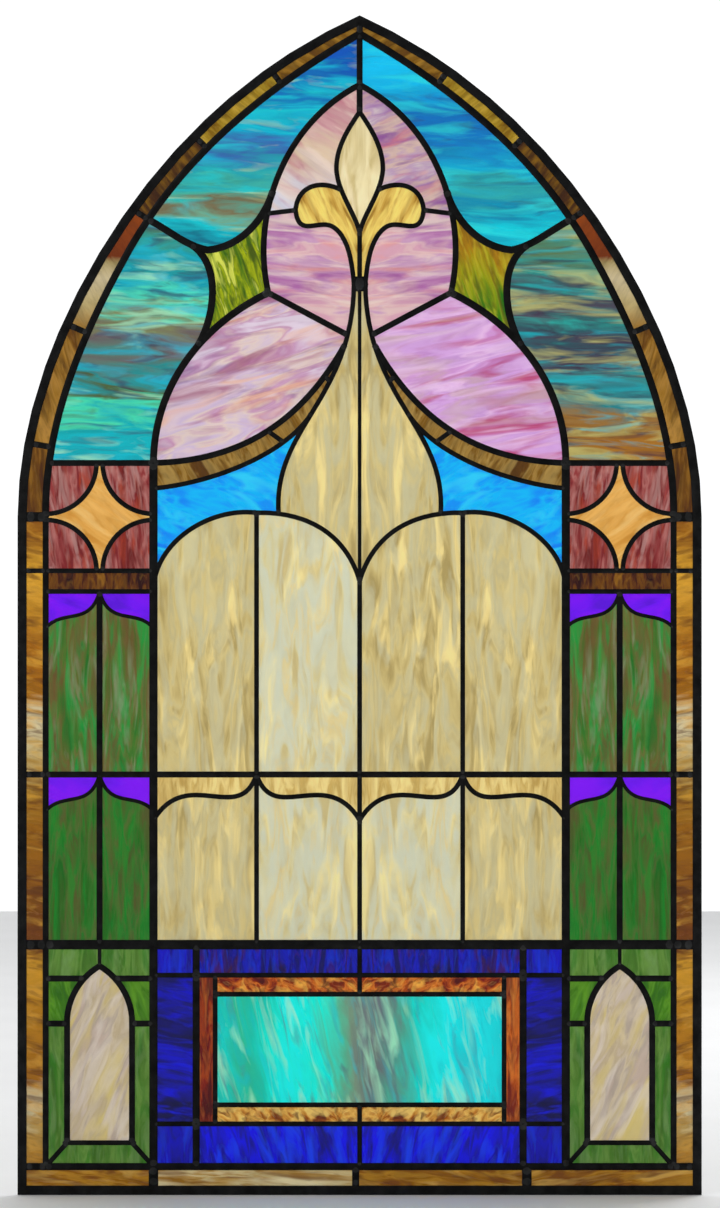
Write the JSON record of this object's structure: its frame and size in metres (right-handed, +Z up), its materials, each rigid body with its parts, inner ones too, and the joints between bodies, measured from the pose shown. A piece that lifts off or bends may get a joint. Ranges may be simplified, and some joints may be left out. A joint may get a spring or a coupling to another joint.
{
  "type": "stained glass window",
  "caption": "Leaded stained glass window with a pointed arch head, opalescent glass panes in a net of lead cames and an edge came to be glazed into an opening.",
  "frame": {"origin": "middle of the sill edge, on the underside of the perimeter came, midway through its depth", "axes": "+Z up the panel towards the point of the arch, +X to the viewer's right, -Y out of the face that the picture shows"},
  "size_m": [0.9144, 0.0068, 1.5763],
  "materials": {
    "azure_left": "bright azure opalescent art glass",
    "azure_right": "bright azure opalescent art glass",
    "blue_frame": "ultramarine opalescent art glass with dark streaks",
    "border_glass": "streaky amber and honey opalescent art glass",
    "cream_arch_left": "cream opalescent art glass with upright streaks",
    "cream_arch_right": "cream opalescent art glass with upright streaks",
    "cream_base_left": "cream opalescent art glass with upright streaks",
    "cream_base_right": "cream opalescent art glass with upright streaks",
    "fleur_bud": "wispy cream opalescent art glass",
    "fleur_petal_left": "golden amber opalescent art glass",
    "fleur_petal_right": "golden amber opalescent art glass",
    "green_lower_left": "mottled green and brown opalescent art glass",
    "green_lower_right": "mottled green and brown opalescent art glass",
    "green_upper_left": "mottled green and brown opalescent art glass",
    "green_upper_right": "mottled green and brown opalescent art glass",
    "lancet_left": "pearly lilac cream opalescent art glass",
    "lancet_right": "pearly lilac cream opalescent art glass",
    "lancet_surround_left": "bright green opalescent art glass",
    "lancet_surround_right": "bright green opalescent art glass",
    "lead_cames": "lead came with a dull black patina",
    "leaf_left": "mottled olive green opalescent art glass",
    "leaf_right": "mottled olive green opalescent art glass",
    "lintel_left": "brown gold opalescent art glass",
    "lintel_right": "brown gold opalescent art glass",
    "orange_frame": "rust orange opalescent art glass with gold mottle",
    "perimeter_came": "lead came with a dull black patina",
    "rose_lower_left": "wispy lavender pink opalescent art glass",
    "rose_lower_right": "wispy lavender pink opalescent art glass",
    "rose_middle_left": "wispy lavender pink opalescent art glass",
    "rose_middle_right": "wispy lavender pink opalescent art glass",
    "rose_upper": "wispy lavender pink opalescent art glass",
    "sash_left": "olive amber opalescent art glass",
    "sash_right": "olive amber opalescent art glass",
    "sky_lower_left": "streaky blue, cyan and olive opalescent art glass",
    "sky_lower_right": "streaky blue, cyan and olive opalescent art glass",
    "sky_upper_left": "streaky blue, cyan and olive opalescent art glass",
    "sky_upper_right": "streaky blue, cyan and olive opalescent art glass",
    "spandrel_left": "golden cream opalescent art glass",
    "spandrel_middle": "golden cream opalescent art glass",
    "spandrel_right": "golden cream opalescent art glass",
    "star_corner_foot_inner_left": "rose red opalescent art glass with dark streaks",
    "star_corner_foot_inner_right": "rose red opalescent art glass with dark streaks",
    "star_corner_foot_outer_left": "rose red opalescent art glass with dark streaks",
    "star_corner_foot_outer_right": "rose red opalescent art glass with dark streaks",
    "star_corner_top_inner_left": "rose red opalescent art glass with dark streaks",
    "star_corner_top_inner_right": "rose red opalescent art glass with dark streaks",
    "star_corner_top_outer_left": "rose red opalescent art glass with dark streaks",
    "star_corner_top_outer_right": "rose red opalescent art glass with dark streaks",
    "star_left": "orange gold opalescent art glass",
    "star_right": "orange gold opalescent art glass",
    "teardrop": "cream opalescent art glass with upright streaks",
    "turquoise_light": "turquoise opalescent art glass with mint and grey streaks",
    "violet_lower_inner_left": "vivid violet opalescent art glass",
    "violet_lower_inner_right": "vivid violet opalescent art glass",
    "violet_lower_outer_left": "vivid violet opalescent art glass",
    "violet_lower_outer_right": "vivid violet opalescent art glass",
    "violet_upper_inner_left": "vivid violet opalescent art glass",
    "violet_upper_inner_right": "vivid violet opalescent art glass",
    "violet_upper_outer_left": "vivid violet opalescent art glass",
    "violet_upper_outer_right": "vivid violet opalescent art glass"
  },
  "bodies": {
    "root": {"azure_left": "azure_left", "azure_right": "azure_right", "blue_frame": "blue_frame", "border_glass": "border_glass", "cream_arch_left": "cream_arch_left", "cream_arch_right": "cream_arch_right", "cream_base_left": "cream_base_left", "cream_base_right": "cream_base_right", "fleur_bud": "fleur_bud", "fleur_petal_left": "fleur_petal_left", "fleur_petal_right": "fleur_petal_right", "green_lower_left": "green_lower_left", "green_lower_right": "green_lower_right", "green_upper_left": "green_upper_left", "green_upper_right": "green_upper_right", "lancet_left": "lancet_left", "lancet_right": "lancet_right", "lancet_surround_left": "lancet_surround_left", "lancet_surround_right": "lancet_surround_right", "lead_cames": "lead_cames", "leaf_left": "leaf_left", "leaf_right": "leaf_right", "lintel_left": "lintel_left", "lintel_right": "lintel_right", "orange_frame": "orange_frame", "perimeter_came": "perimeter_came", "rose_lower_left": "rose_lower_left", "rose_lower_right": "rose_lower_right", "rose_middle_left": "rose_middle_left", "rose_middle_right": "rose_middle_right", "rose_upper": "rose_upper", "sash_left": "sash_left", "sash_right": "sash_right", "sky_lower_left": "sky_lower_left", "sky_lower_right": "sky_lower_right", "sky_upper_left": "sky_upper_left", "sky_upper_right": "sky_upper_right", "spandrel_left": "spandrel_left", "spandrel_middle": "spandrel_middle", "spandrel_right": "spandrel_right", "star_corner_foot_inner_left": "star_corner_foot_inner_left", "star_corner_foot_inner_right": "star_corner_foot_inner_right", "star_corner_foot_outer_left": "star_corner_foot_outer_left", "star_corner_foot_outer_right": "star_corner_foot_outer_right", "star_corner_top_inner_left": "star_corner_top_inner_left", "star_corner_top_inner_right": "star_corner_top_inner_right", "star_corner_top_outer_left": "star_corner_top_outer_left", "star_corner_top_outer_right": "star_corner_top_outer_right", "star_left": "star_left", "star_right": "star_right", "teardrop": "teardrop", "turquoise_light": "turquoise_light", "violet_lower_inner_left": "violet_lower_inner_left", "violet_lower_inner_right": "violet_lower_inner_right", "violet_lower_outer_left": "violet_lower_outer_left", "violet_lower_outer_right": "violet_lower_outer_right", "violet_upper_inner_left": "violet_upper_inner_left", "violet_upper_inner_right": "violet_upper_inner_right", "violet_upper_outer_left": "violet_upper_outer_left", "violet_upper_outer_right": "violet_upper_outer_right"}
  },
  "joints": []
}
